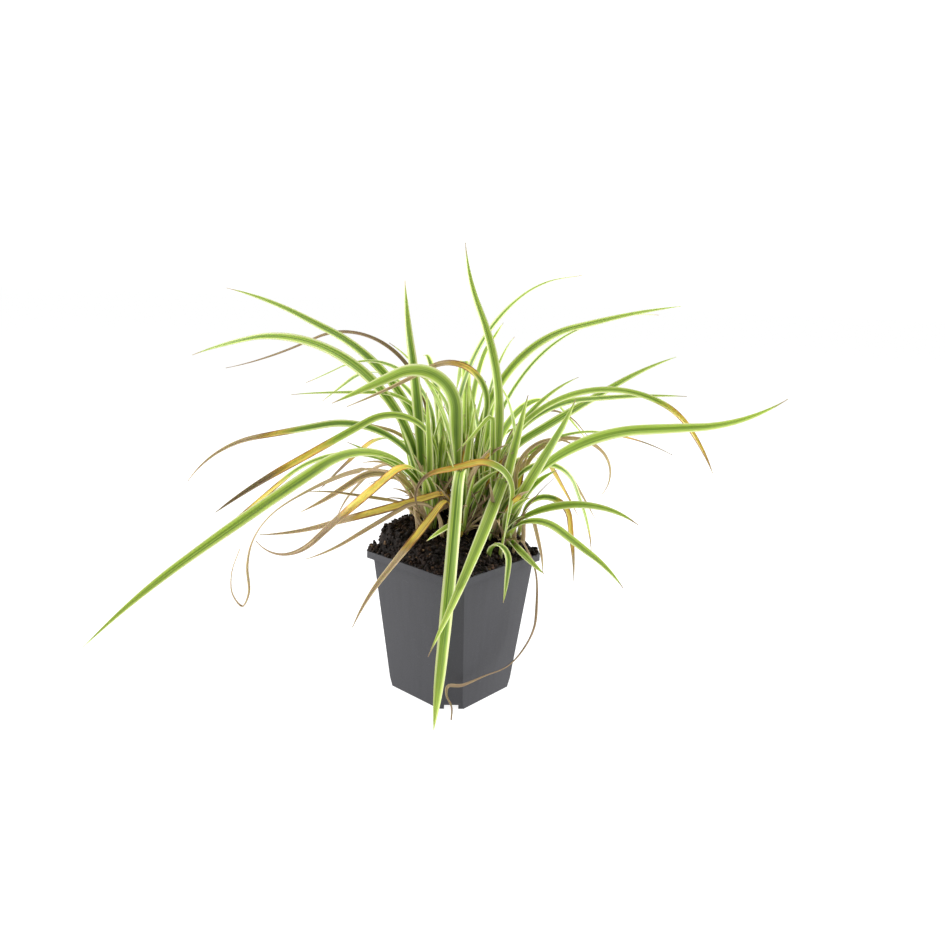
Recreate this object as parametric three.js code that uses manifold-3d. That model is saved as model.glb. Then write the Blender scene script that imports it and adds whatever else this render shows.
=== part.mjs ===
// A variegated sedge in its square nursery pot. Millimetres, +Z up.
// Origin: middle of the pot's underside, on the surface that the pot stands on. The pot's sides face X and Y.
import * as THREE from 'three'
import { mergeVertices } from 'three/addons/utils/BufferGeometryUtils.js'
import Module from 'manifold-3d'

const wasm = await Module()
wasm.setup()

// ---------------------------------------------------------------- driving dimensions
const potHeight = 96.5
const rim = { halfWidth: 45, corner: 7.3, height: 4.7 } // corner: leg of the cut-off corner
const wallTop = { halfWidth: 41.8, corner: 7.3 }
const wallFoot = { halfWidth: 34.2, corner: 10.5 }
const footSlant = { height: 6.5, corner: 11.8 } // the cut corners lean in below this height
const wall = 1.4
const floorThickness = 1.6
const notch = { width: 9.4, height: 3.2 } // drainage notch in each foot corner
const recess = { leg: 21, drop: 3.2, length: 14, width: 34 } // raised corner of the floor behind each notch
const drainHole = { radius: 3, fromAxis: 34.5 }

const footInset = 1.2 // the inside narrows by this much towards the floor

const clearance = 0.3 // between neighbouring pieces
const joinedWithin = 0.03 // corners that joins and cuts leave closer together than this become one
const soilBelowRim = 2.6
const soilRise = { middle: 17, perX: -0.223, perY: 0.093, most: 23 } // the heap over its edge, and its tilt
const soilGrain = 0.7
const sheathDepth = 12 // how deep every sheath stands in its hole
const greenSheath = { radius: 3.4, height: 13 }
const singleSheath = { radius: 1.7, height: 6 }

const bladeThickness = 0.75
const bladeFold = 0.13 // depth of the V section, as a share of the blade's width

const colour = {
  pot: 0x3c3c3f,
  soil: 0x2a1d14,
  green: 0x7fa33c,
  yellow: 0xcfa53a,
  dry: 0x9a8468,
}

// ---------------------------------------------------------------- solids and meshes
const toSolid = (geometry) => {
  const bare = geometry.clone()
  bare.deleteAttribute('normal')
  bare.deleteAttribute('uv')
  const merged = mergeVertices(bare, 1e-4)
  return new wasm.Manifold(
    new wasm.Mesh({
      numProp: 3,
      vertProperties: new Float32Array(merged.attributes.position.array),
      triVerts: new Uint32Array(merged.index.array),
    }),
  )
}

const toGeometry = (solid) => {
  const mesh = solid.getMesh()
  const geometry = new THREE.BufferGeometry()
  geometry.setAttribute('position', new THREE.BufferAttribute(new Float32Array(mesh.vertProperties), 3))
  geometry.setIndex(new THREE.BufferAttribute(new Uint32Array(mesh.triVerts), 1))
  geometry.computeVertexNormals()
  return geometry
}

// The outer skin alone, so that the small hollows which crossing blades close in are filled.
const filled = (solid) => {
  const shells = solid.decompose()
  return shells.reduce((most, shell) => (shell.volume() > most.volume() ? shell : most))
}

const group = new THREE.Group()

const addPiece = (name, solid, tint, roughness) => {
  const material = new THREE.MeshStandardMaterial({ color: tint, roughness, metalness: 0 })
  const mesh = new THREE.Mesh(toGeometry(solid.asOriginal().simplify(joinedWithin)), material)
  mesh.name = name
  group.add(mesh)
}

// A closed skin over rings of points, each ring the same length and running anticlockwise seen from above.
// Every strip between two rings is split along the same diagonal.
// From the side `mirrored` on it is split along the other one.
const skin = (rings, startPoint, endPoint, mirrored = Infinity) => {
  const count = rings[0].length
  const points = rings.flat()
  const start = points.push(startPoint) - 1
  const end = points.push(endPoint) - 1
  const last = (rings.length - 1) * count
  const index = []
  for (let side = 0; side < count; side += 1) {
    const next = (side + 1) % count
    index.push(start, next, side)
    index.push(end, last + side, last + next)
    for (let ring = 0; ring < rings.length - 1; ring += 1) {
      const here = ring * count
      const above = here + count
      const [a, b, c, d] = [here + side, here + next, above + next, above + side]
      index.push(...(side < mirrored ? [a, b, c, a, c, d] : [a, b, d, b, c, d]))
    }
  }
  const geometry = new THREE.BufferGeometry()
  geometry.setAttribute('position', new THREE.Float32BufferAttribute(points.flatMap((p) => p.toArray()), 3))
  geometry.setIndex(index)
  return geometry
}

// ---------------------------------------------------------------- pot
// A square of the given half width with its corners cut off, at one height.
const octagon = (halfWidth, corner, z) => {
  const short = halfWidth - corner
  return [
    [halfWidth, -short],
    [halfWidth, short],
    [short, halfWidth],
    [-short, halfWidth],
    [-halfWidth, short],
    [-halfWidth, -short],
    [-short, -halfWidth],
    [short, -halfWidth],
  ].map(([x, y]) => new THREE.Vector3(x, y, z))
}

const wallTo = potHeight - rim.height
const mix = THREE.MathUtils.lerp
const wallAt = (z) => ({
  halfWidth: mix(wallFoot.halfWidth, wallTop.halfWidth, z / wallTo),
  corner: mix(wallFoot.corner, wallTop.corner, z / wallTo),
})
// The inner faces lie one wall inside the outer ones; a cut corner shrinks with them.
const cornerInset = 2 - Math.SQRT2
const inner = (outer, inset) => ({
  halfWidth: outer.halfWidth - inset,
  corner: outer.corner - inset * cornerInset,
})
const ring = (size, z) => octagon(size.halfWidth, size.corner, z)
const stack = (rings) => {
  const low = rings[0][0].z
  const high = rings[rings.length - 1][0].z
  return toSolid(skin(rings, new THREE.Vector3(0, 0, low), new THREE.Vector3(0, 0, high)))
}

const quarterTurns = [0, 1, 2, 3].map((turn) => Math.PI / 4 + (turn * Math.PI) / 2)

const placed = (geometry, x, y, z, turn) => {
  geometry.rotateZ(turn)
  geometry.translate(x, y, z)
  return toSolid(geometry)
}

const makePot = () => {
  const outside = stack([
    ring({ halfWidth: wallFoot.halfWidth, corner: footSlant.corner }, 0),
    ring(wallAt(footSlant.height), footSlant.height),
    ring(wallTop, wallTo),
    ring(rim, wallTo),
    ring(rim, potHeight),
  ])
  const cavityTop = inner(wallTop, wall)
  let pot = outside.subtract(
    stack([
      ring(inner(wallAt(floorThickness), wall + footInset), floorThickness),
      ring(inner(wallAt(footSlant.height), wall), footSlant.height),
      ring(cavityTop, wallTo),
      ring(cavityTop, potHeight + 1),
    ]),
  )
  const farCorner = Math.SQRT2 * wallFoot.halfWidth
  const recessFrom = farCorner - recess.leg / Math.SQRT2
  const raisedHeight = recess.drop + floorThickness
  const insideWalls = stack([
    ring(inner(wallFoot, wall + footInset), -recess.drop),
    ring(inner(wallAt(recess.drop), wall + footInset), recess.drop),
  ])
  for (const turn of quarterTurns) {
    const alongCorner = (geometry, distance, z) =>
      placed(geometry, Math.cos(turn) * distance, Math.sin(turn) * distance, z, turn)
    // the floor's raised corner, under it the drainage space, and the notch that opens it
    const block = new THREE.BoxGeometry(recess.length, recess.width, raisedHeight)
    const raised = alongCorner(block, recessFrom + recess.length / 2, raisedHeight / 2).intersect(outside)
    const hollow = new THREE.BoxGeometry(recess.length, recess.width, recess.drop * 2)
    const space = alongCorner(hollow, recessFrom + wall + recess.length / 2, 0).intersect(insideWalls)
    const slot = new THREE.BoxGeometry(recess.length, notch.width, notch.height * 2)
    const gap = alongCorner(slot, farCorner - recess.length / 2, 0)
    const drain = new THREE.CylinderGeometry(drainHole.radius, drainHole.radius, potHeight / 4, 16)
    const hole = alongCorner(drain.rotateX(Math.PI / 2), drainHole.fromAxis, 0)
    pot = pot.add(raised).subtract(space).subtract(gap).subtract(hole)
  }
  return pot
}

// ---------------------------------------------------------------- soil
const cavityAt = (z) => inner(wallAt(Math.min(z, wallTo)), wall + clearance)

// Distance from the axis to the side of a cut-cornered square, in one direction.
const reachOf = (size, angle) => {
  const c = Math.abs(Math.cos(angle))
  const s = Math.abs(Math.sin(angle))
  return Math.min(size.halfWidth / Math.max(c, s), (2 * size.halfWidth - size.corner) / (c + s))
}

const soilEdge = potHeight - soilBelowRim
const soilHeight = (x, y) => {
  const out = Math.hypot(x, y) / reachOf(cavityAt(soilEdge), Math.atan2(y, x))
  const rise = Math.min(soilRise.most, soilRise.middle + soilRise.perX * x + soilRise.perY * y)
  const grain = Math.sin(x * 0.61 + y * 0.23) + Math.sin(y * 0.53 - x * 0.31 + 1.3) + Math.sin((x + y) * 0.9)
  const shoulder = 1 - out ** 14
  return soilEdge + shoulder * rise + (shoulder * soilGrain * grain) / 2
}

const makeSoil = (holes) => {
  const sides = 36
  const steps = 8
  const rings = []
  const ringAt = (size, z) => {
    const points = []
    for (let side = 0; side < sides; side += 1) {
      const angle = ((side + 0.5) / sides) * 2 * Math.PI
      const reach = reachOf(size, angle)
      points.push(new THREE.Vector3(Math.cos(angle) * reach, Math.sin(angle) * reach, z))
    }
    return points
  }
  const foot = floorThickness + clearance
  const overRecess = recess.drop + floorThickness + clearance
  const onFloor = { ...inner(wallAt(foot), wall + 2), corner: recess.leg + 1.6 }
  rings.push(ringAt(onFloor, foot), ringAt({ ...onFloor, halfWidth: onFloor.halfWidth + 0.4 }, overRecess))
  rings.push(ringAt(inner(wallAt(overRecess), wall + 1.5), overRecess + 0.3))
  rings.push(ringAt(inner(wallAt(footSlant.height), wall + 0.6), footSlant.height + 0.4))
  const edge = ringAt(cavityAt(soilEdge), soilEdge)
  for (let step = 0; step < steps; step += 1) {
    const share = 1 - (step / steps) ** 1.6
    rings.push(
      edge.map((p) => {
        const x = p.x * share
        const y = p.y * share
        return new THREE.Vector3(x, y, soilHeight(x, y))
      }),
    )
  }
  const top = new THREE.Vector3(0, 0, soilHeight(0, 0))
  let soil = toSolid(skin(rings, new THREE.Vector3(0, 0, foot), top))
  for (const hole of holes) {
    soil = soil.subtract(hole)
  }
  return soil
}

// ---------------------------------------------------------------- leaves
// A leaf leaves its sheath at `lean` degrees from upright and bends to `droop` degrees between the shares
// `from` and `to` of its length. `heading` is its compass direction in degrees from +X, `sweep` how far that
// turns on the way to the tip, `twist` how far the blade rolls about its own rib, and `curl` a further bend
// over its last quarter. `length` and `width` are in millimetres.
const leaf = (heading, lean, droop, from, to, sweep, length, width, twist, curl) => ({
  heading,
  lean,
  droop,
  from,
  to,
  sweep,
  length,
  width,
  twist,
  curl,
})

const rad = THREE.MathUtils.degToRad
const ramp = (value, from, to) => THREE.MathUtils.clamp((value - from) / (to - from), 0, 1)

const rootDepth = 5 // the leaves' middle lines start this far down in the soil, inside the sheath
const bendAbove = 1 // a leaf climbs straight up to this height over the soil before it leans
const curlFrom = 0.75
const twistTo = 0.4
const fineSteps = 160
const sectionSpacing = 26 // between the even cross-sections; more stand where the leaf bends
const closest = 4 // least distance between two cross-sections
const lastSection = 0.97
const aboveSoil = 2 // height of the lowest cross-section over the soil
const upward = new THREE.Vector3(0, 0, 1)

// The frame of a blade at the share s of its length: along it, across it and out of its upper face.
const frameAt = (spec, s) => {
  const bend = (spec.droop - spec.lean) * ramp(s, spec.from, spec.to) + spec.curl * ramp(s, curlFrom, 1)
  const tilt = rad(spec.lean + bend)
  const turn = rad(spec.heading + spec.sweep * s)
  const outward = new THREE.Vector3(Math.cos(turn), Math.sin(turn), 0)
  const along = upward.clone().multiplyScalar(Math.cos(tilt)).addScaledVector(outward, Math.sin(tilt))
  const over = upward.clone().multiplyScalar(Math.sin(tilt)).addScaledVector(outward, -Math.cos(tilt))
  over.applyAxisAngle(along, rad(spec.twist) * ramp(s, 0, twistTo))
  return { along, over, across: new THREE.Vector3().crossVectors(over, along) }
}

const bladeWidth = (spec, s) => spec.width * (0.4 + 0.6 * ramp(s, 0, 0.22)) * (1 - s ** 3)

// One cross-section: edge, groove, edge and keel, in that order round the blade.
const bladeSection = (centre, frame, width) => {
  const thickness = bladeThickness
  const lift = width * bladeFold
  const at = (sideways, up) =>
    centre.clone().addScaledVector(frame.across, sideways).addScaledVector(frame.over, up)
  return [
    at(width / 2, lift),
    at(0, thickness / 2),
    at(-width / 2, lift),
    at(0, -thickness / 2),
  ]
}

// The upper and the lower face are split alike, so that a twisted blade doesn't pass through itself.
const bladeSolid = (sections, tip) => {
  const first = sections[0]
  const start = new THREE.Vector3().addVectors(first[1], first[3]).multiplyScalar(0.5)
  return toSolid(skin(sections, start, tip, 2))
}

const makeBlade = (spec, root) => {
  const count = Math.max(3, Math.round(spec.length / sectionSpacing))
  const even = Array.from({ length: count }, (_, n) => n / count)
  const bends = [spec.from, (spec.from + spec.to) / 2, spec.to]
  const wanted = [...even, ...bends].filter((s) => s < lastSection).sort((a, b) => a - b)
  const level = soilHeight(...root)
  const centre = new THREE.Vector3(root[0], root[1], level - rootDepth)
  const sections = []
  let newest = centre.clone()
  for (let step = 0; step <= fineSteps; step += 1) {
    const s = step / fineSteps
    const frame = frameAt(spec, s)
    const first = sections.length === 0 && centre.z > level + aboveSoil
    const due = sections.length > 0 && s >= wanted[0] && newest.distanceTo(centre) > closest
    while (s >= wanted[0]) {
      wanted.shift()
    }
    if (first || due) {
      sections.push(bladeSection(centre, frame, bladeWidth(spec, s)))
      newest = centre.clone()
    }
    const climbed = s * spec.length
    const onward = climbed < rootDepth + bendAbove ? upward : frame.along
    centre.addScaledVector(onward, spec.length / fineSteps)
  }
  return bladeSolid(sections, centre)
}

// A thread-like dry leaf along a curve through chosen points, its flat side turned away from the pot's axis.
const makeStrand = (points, width, thickness, count) => {
  const curve = new THREE.CatmullRomCurve3(points.map((p) => new THREE.Vector3(...p)))
  const sections = []
  for (let n = 0; n < count; n += 1) {
    const s = n / count
    const centre = curve.getPointAt(s)
    const along = curve.getTangentAt(s)
    const outward = new THREE.Vector3(centre.x, centre.y, 0).normalize()
    const across = new THREE.Vector3().crossVectors(along, outward).normalize()
    const over = new THREE.Vector3().crossVectors(along, across)
    const half = (width / 2) * (1 - 0.6 * s ** 2)
    const at = (sideways, up) => centre.clone().addScaledVector(across, sideways).addScaledVector(over, up)
    sections.push([at(half, 0), at(0, thickness / 2), at(-half, 0), at(0, -thickness / 2)])
  }
  return bladeSolid(sections, curve.getPointAt(1))
}

const makeSheath = (at, { radius, height }) => {
  const length = sheathDepth + height
  const body = new THREE.CylinderGeometry(radius * 0.62, radius, length, 7).rotateX(Math.PI / 2)
  return placed(body, at[0], at[1], soilHeight(...at) - sheathDepth + length / 2, 0)
}

// The old leaf bases that lie between two neighbouring shoots and hold them together.
const makeTie = (from, to) => {
  const radius = 1.6
  const lift = 4
  const a = new THREE.Vector3(from[0], from[1], soilHeight(...from) + lift)
  const b = new THREE.Vector3(to[0], to[1], soilHeight(...to) + lift)
  const body = new THREE.CylinderGeometry(radius, radius, a.distanceTo(b), 6)
  const middle = new THREE.Vector3().addVectors(a, b).multiplyScalar(0.5)
  const direction = new THREE.Vector3().subVectors(b, a).normalize()
  body.applyQuaternion(new THREE.Quaternion().setFromUnitVectors(new THREE.Vector3(0, 1, 0), direction))
  return placed(body, middle.x, middle.y, middle.z, 0)
}

const makeHole = (at, { radius }) => {
  const depth = 40
  const wide = (radius + clearance) / Math.cos(Math.PI / 8)
  const body = new THREE.CylinderGeometry(wide, wide, depth, 8).rotateX(Math.PI / 2)
  return placed(body, at[0], at[1], soilHeight(...at) - sheathDepth - clearance + depth / 2, 0)
}

// ---------------------------------------------------------------- the tussock, shoot by shoot
// Each node is one shoot, or several neighbouring shoots whose leaves are tangled.
const shoot = (x, y, leaves) => ({ at: [x, y], leaves })

const greenNodes = {
  shoots_left: [
    shoot(-24.5, 6, [
      leaf(205, -2, 67, 0, 0.65, 2, 245, 6, -50, 13),
      leaf(220, 3, 92, 0.3, 0.65, 0, 170, 4.5, -25, 4),
      leaf(211, 3, 120, 0.35, 0.85, -1, 185, 4.5, -20, -7),
      leaf(216, -9, 101, 0.55, 1.2, 0, 110, 5, -30, 0),
    ]),
    shoot(-25.5, -5, [
      leaf(208, 6, 101, 0.1, 0.8, -2, 255, 6.5, -50, 9),
      leaf(186, 4, 11, 0.15, 0.7, 0, 165, 5, -30, -7),
      leaf(206, 7, 52, 0.3, 1.05, 0, 95, 4, -15, 0),
    ]),
    shoot(-15, -8.5, [
      leaf(230, -2, 101, 0.05, 0.55, 5, 215, 5, -60, 45),
      leaf(237, -5, 119, 0.2, 0.5, 3, 225, 5, -55, 6),
      leaf(245, 15, 129, 0.05, 0.6, -1, 215, 4.5, -20, -6),
      leaf(248, -5, 119, 0, 0.4, 17, 280, 8.5, -45, 9),
      leaf(230, 9, 66, 0.15, 0.65, 0, 90, 4.5, -30, 0),
    ]),
  ],
  shoots_middle: [
    shoot(5.5, 1, [
      leaf(310, 11, 157, 0.17, 0.37, -10, 224, 8.5, 14, -4),
      leaf(290, 13, 91, 0, 0.4, 0, 65, 5, 0, 0),
    ]),
    shoot(-4, 7, [
      leaf(241, 3, 114, 0.45, 0.75, 1, 185, 10.5, -85, 0),
      leaf(220, 3, 35, 0.35, 1.05, 0, 100, 5, -35, -5),
    ]),
  ],
  shoots_back: [
    shoot(-19, 18.5, [
      leaf(77, 0, 77, 0.25, 0.9, 2, 235, 5, 5, 5),
      leaf(196, 4, 62, 0.3, 1, 4, 140, 5, -10, 0),
    ]),
    shoot(-31, 20, [
      leaf(168, 10, 118, 0.1, 0.8, 8, 230, 6.5, 10, 0),
      leaf(148, 6, 88, 0.15, 0.9, -6, 175, 6, -10, 10),
      leaf(184, 14, 128, 0.05, 0.6, -5, 185, 5.5, 15, 0),
    ]),
    shoot(-19.5, 30, [
      leaf(119, 6, 75, 0.2, 0.7, 1, 210, 4.5, -10, 0),
      leaf(132, 8, 112, 0.1, 0.75, 6, 250, 7, 5, 10),
      leaf(150, 16, 134, 0.1, 0.7, 0, 160, 5.5, -10, 0),
    ]),
  ],
  shoots_right_back: [
    shoot(-4.5, 18, [
      leaf(238, 0, 32, 0.2, 1, 0, 88, 4.5, -80, 0),
      leaf(180, 2, 4, 0.15, 0.75, 0, 100, 5, 0, 0),
      leaf(243, -8, 117, 0.4, 0.7, 0, 205, 6, -85, -6),
    ]),
    shoot(-2, 27, [
      leaf(68, -5, 77, 0.15, 0.65, -3, 265, 6, 45, 6),
      leaf(80, 3, 76, 0.1, 0.7, -3, 260, 3.5, 5, 17),
      leaf(105, 2, 84, 0.4, 1.15, 2, 150, 4.5, -30, 0),
    ]),
    shoot(-6, 34.5, [
      leaf(100, 10, 124, 0.1, 0.75, -6, 220, 6.5, 10, 0),
      leaf(86, 16, 138, 0.05, 0.65, 5, 165, 5.5, 0, 0),
      leaf(120, 6, 84, 0.2, 0.9, 4, 150, 5, -10, 10),
    ]),
  ],
  shoots_right: [
    shoot(10.5, 21, [
      leaf(185, -6, 31, 0.3, 0.8, 0, 201, 5, -33, -25),
      leaf(54, 6, 59, 0.15, 0.4, 0, 195, 6, 50, 12),
      leaf(42, 7, 84, 0.2, 0.65, 0, 195, 4.5, 45, 6),
      leaf(34, 6, 133, 0.15, 0.85, 2, 240, 5, 60, 22),
      leaf(64, 9, 69, 0.25, 1, 0, 135, 4.5, 40, 0),
      leaf(58, 8, 101, 0.05, 0.7, -3, 180, 3.5, 20, 15),
    ]),
    shoot(20.5, 16.5, [
      leaf(27, 29, 83, 0.15, 0.6, 1, 223, 7.5, 60, -32),
      leaf(15, 12, 12, 0.2, 0.75, 0, 105, 7, 88, 0),
      leaf(249, 3, 137, 0.7, 0.75, 3, 120, 4.5, -95, -6),
    ]),
    shoot(23.5, 26, [
      leaf(297, -14, 129, 0.24, 0.29, -14, 212, 9, 0, 0),
      leaf(26, 38, 114, 0, 0.95, 1, 103, 5.5, 55, 6),
      leaf(38, 7, 157, 0.25, 0.65, 0, 140, 5, 30, 16),
      leaf(160, -6, 106, 0.5, 1.15, -2, 124, 4.5, 30, 0),
    ]),
    shoot(30, 17.5, [
      leaf(18, 10, 28, 0.05, 0.4, 0, 115, 7, 80, -9),
      leaf(6, 13, 115, 0, 0.5, -1, 110, 5.5, 40, 20),
      leaf(352, 8, 114, 0, 0.28, 1, 47, 4.9, 29, -9),
    ]),
  ],
}

const singleLeaves = {
  green_leaf_right_front: [[34, -3], leaf(356, 9, 185, 0.09, 0.54, -1, 61, 4.1, 24, 4), 'green'],
  yellow_leaf_middle: [[37, 5], leaf(230, -8, 104, 0.31, 0.58, -2, 146, 4.8, -60, 125), 'yellow'],
  yellow_leaf_left: [[-0.5, -6], leaf(251, -9, 100, 0.13, 0.25, -3, 157, 5.5, -49, -16), 'yellow'],
  yellow_leaf_left_front: [[-10, -13.5], leaf(278, 3, 108, 0.1, 0.38, 11, 214, 5.1, -28, -67), 'yellow'],
  yellow_leaf_front: [[4.2, -11], leaf(276, -12, 125, 0.15, 0.28, -5, 138, 5.4, -26, 22), 'yellow'],
  yellow_leaf_right: [[28.5, 33.5], leaf(27, 12, 171, 0.2, 0.6, 1, 110, 4.5, 50, 5), 'yellow'],
  dry_leaf_back_left: [[-36.5, 7.5], leaf(200, 0, 113, 0.25, 0.7, 4, 275, 4.5, -20, -11), 'dry'],
  dry_leaf_left: [[-32.5, -0.5], leaf(216, -3, 78, 0.24, 0.64, 0, 118, 4.5, -22, 31), 'dry'],
  dry_leaf_left_short: [[-34, -7.5], leaf(212, 8, 97, 0.3, 0.9, 0, 65, 4.5, -15, 0), 'dry'],
  dry_leaf_left_low: [[-22.5, -12.5], leaf(230, 11, 123, 0.15, 0.6, 0, 110, 5, -55, -9), 'dry'],
  dry_leaf_left_thin: [[-14, -17], leaf(238, 12, 79, 0, 0.4, 0, 90, 3.5, -25, 10), 'dry'],
  dry_leaf_left_front: [[1.5, -13.5], leaf(255, 10, 113, 0.1, 0.4, 0, 120, 5, -15, -18), 'dry'],
  dry_leaf_right_hooked: [[12, 29.5], leaf(44, 26, 186, 0.37, 0.98, 0, 144, 4.5, 25, 26), 'dry'],
  dry_leaf_right_back: [[9.5, 35.5], leaf(58, 3, 136, 0.4, 0.9, 1, 142, 3.5, 10, 0), 'dry'],
  dry_leaf_right: [[31, 26.3], leaf(52, -1, 131, 0.44, 1, 1, 107, 3.7, 62, 6), 'dry'],
  dry_leaf_rim: [[35, 31], leaf(10, 3, 161, 0.3, 0.45, 0, 60, 4.5, 5, 12), 'dry'],
  dry_leaf_far_back: [[-13, 36], leaf(126, 14, 140, 0.1, 0.7, 6, 190, 5, 20, 0), 'dry'],
  dry_leaf_far_left: [[-33, 12], leaf(176, 22, 132, 0, 0.6, 6, 150, 4.5, 10, 20), 'dry'],
  dry_leaf_far_right: [[2, 34], leaf(76, 24, 140, 0.1, 0.7, 6, 150, 4.5, -10, 0), 'dry'],
}

// Dry thread-like leaves, each hanging along a route of its own.
const strands = {
  dry_strand_right: {
    root: [38, 18],
    points: [
      [38, 18, 99],
      [39, 18.5, 106],
      [42.5, 20, 109],
      [48, 22, 101],
      [52, 25, 88],
      [53, 27, 65],
      [52, 27, 48],
      [50, 18, 34],
      [48, 4, 26],
      [44, -14, 24],
      [40, -31, 22],
      [37, -42, 24],
      [39, -45, 20],
      [42, -43, 12],
      [43, -44, 4],
    ],
  },
  dry_strand_left: {
    root: [-12, -24],
    points: [
      [-12, -24, 106],
      [-12, -24.5, 117],
      [-13, -30, 136],
      [-18, -42, 152],
      [-26, -60, 156],
      [-34, -75, 152],
      [-52, -108, 132],
      [-59, -119, 115],
      [-62, -122, 98],
      [-61, -122, 80],
      [-64, -125, 71],
      [-68, -129, 79],
      [-68, -129, 93],
      [-63, -126, 109],
    ],
  },
}
const strandWidth = 2.4
const strandSheath = { radius: 1.5, height: 4 }

// A short young blade stands up in each green shoot but the older ones on the right.
const young = { count: 1, noneIn: 'shoots_right', leastLength: 65, spareLength: 35, width: 4.5 }
let draw = 229
const random = () => {
  draw = (draw * 16807) % 2147483647
  return draw / 2147483647
}
const youngBlade = () => {
  const heading = random() * 360
  const lean = 1 + random() * 4
  const droop = 10 + random() * 15
  const length = young.leastLength + random() * young.spareLength
  return leaf(heading, lean, droop, 0.2, 1, 0, length, young.width, random() * 60 - 30, 0)
}

const holes = []

for (const [name, shoots] of Object.entries(greenNodes)) {
  let bunch = null
  let neighbour = null
  for (const { at, leaves } of shoots) {
    const youngCount = name === young.noneIn ? 0 : young.count
    const blades = [...leaves, ...Array.from({ length: youngCount }, youngBlade)]
    const solids = [makeSheath(at, greenSheath)]
    solids.push(...blades.map((spec) => makeBlade(spec, at)))
    for (const solid of solids) {
      bunch = bunch === null ? solid : bunch.add(solid)
    }
    if (neighbour !== null) {
      bunch = bunch.add(makeTie(neighbour, at))
    }
    neighbour = at
    holes.push(makeHole(at, greenSheath))
  }
  addPiece(name, filled(bunch), colour.green, 0.55)
}

for (const [name, [at, spec, tint]] of Object.entries(singleLeaves)) {
  const blade = makeBlade(spec, at)
  addPiece(name, makeSheath(at, singleSheath).add(blade), colour[tint], 0.75)
  holes.push(makeHole(at, singleSheath))
}

for (const [name, { root, points }] of Object.entries(strands)) {
  const strand = makeStrand(points, strandWidth, bladeThickness, 24)
  addPiece(name, makeSheath(root, strandSheath).add(strand), colour.dry, 0.8)
  holes.push(makeHole(root, strandSheath))
}

addPiece('pot', makePot(), colour.pot, 0.6)
addPiece('soil', makeSoil(holes), colour.soil, 0.95)

export default group
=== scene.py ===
"""A variegated sedge in its square nursery pot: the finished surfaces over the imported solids."""

import math
import random

import bpy
import numpy as np
from bpy.props import FloatProperty, FloatVectorProperty, IntProperty, PointerProperty
from mathutils import Matrix, Vector, noise


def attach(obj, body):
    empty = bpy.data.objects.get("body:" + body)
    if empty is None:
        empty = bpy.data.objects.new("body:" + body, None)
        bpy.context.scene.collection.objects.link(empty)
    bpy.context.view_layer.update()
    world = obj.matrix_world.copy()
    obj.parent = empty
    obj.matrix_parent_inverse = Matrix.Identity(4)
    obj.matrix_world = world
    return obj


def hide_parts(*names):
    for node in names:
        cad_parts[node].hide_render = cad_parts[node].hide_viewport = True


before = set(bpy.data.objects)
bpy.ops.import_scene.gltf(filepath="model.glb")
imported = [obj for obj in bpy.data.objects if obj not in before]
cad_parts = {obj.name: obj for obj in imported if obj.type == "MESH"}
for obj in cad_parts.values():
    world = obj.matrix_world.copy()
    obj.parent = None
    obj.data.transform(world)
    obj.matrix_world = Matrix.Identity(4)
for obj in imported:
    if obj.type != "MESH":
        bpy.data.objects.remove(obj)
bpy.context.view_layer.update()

bl_info = {
    "name": "Potted sedge",
    "version": (1, 0, 0),
    "blender": (4, 5, 0),
    "location": "3D View > Sidebar > Sedge",
    "description": "Builds a variegated sedge with its soil and nursery pot, piece by piece",
    "category": "Add Mesh",
}

MM = 0.001

# ------------------------------------------------------------------ measurements, in millimetres
POT_HEIGHT = 96.5
RIM_HALF_WIDTH = 45
RIM_CORNER = 7.3
RIM_HEIGHT = 4.7
WALL_TOP = (41.8, 7.3)
WALL_FOOT = (34.2, 10.5)
WALL = 1.4
SOIL_BELOW_RIM = 2.6
SOIL_EDGE = POT_HEIGHT - SOIL_BELOW_RIM
SOIL_RISE = 17
SOIL_TILT = (-0.223, 0.093)
SOIL_MOST = 23
SOIL_GRAIN = 0.35
SOIL_FOOT = 9

# The heap is a ball laid out by its share of the way from the top pole to the lower one: first the heap's
# own surface, then the part that spills over the rim, then the side inside the pot.
HEAP_TOP = 0.68
HEAP_SPILL = 0.74
HEAP_SIDE = 0.9
EDGE_CRUMBS = 0.42  # share of the crumbs that lie along the rim

# Blades: the foot is wrapped round its shoot up to one distance and fully open from another.
ROOT_DEPTH = 5
BEND_ABOVE = 1
FINE_STEPS = 160
CURL_FROM = 0.75
TWIST_TO = 0.4
FOLD = 0.13
LEAST_HALF = 0.12
WRAPPED_TO, OPEN_FROM = 7, 26
ROW_SPACING = 3.2
SHEATH_RADIUS = 3.2
INNER_RADIUS = 0.9
SINGLE_RADIUS = 1.5
STRAND_WIDTH = 2.8
STRAND_POINTS = 140
LITTER_THICKNESS = 0.25

# The camera's place is in millimetres; its axes point right, up and back. Softboxes have a name, a place and a
# size in metres, and a power in watts.
CAMERA_PLACE = (358.1, -386.7, 266.2)
CAMERA_AXES = ((0.7418, 0.6696, 0.0355), (-0.1688, 0.1352, 0.9763), (0.649, -0.7303, 0.2133))
CAMERA_LENS = 30.78
LIT_POINT = (0, 0, 0.12)
SOFTBOXES = (
    ("overhead_softbox", (0.0, 0.0, 1.5), 1.4, 12.0),
    ("left_softbox", (-1.3, -0.8, 0.7), 0.9, 33.0),
    ("right_softbox", (0.8, 1.3, 0.7), 0.9, 37.0),
)

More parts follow.
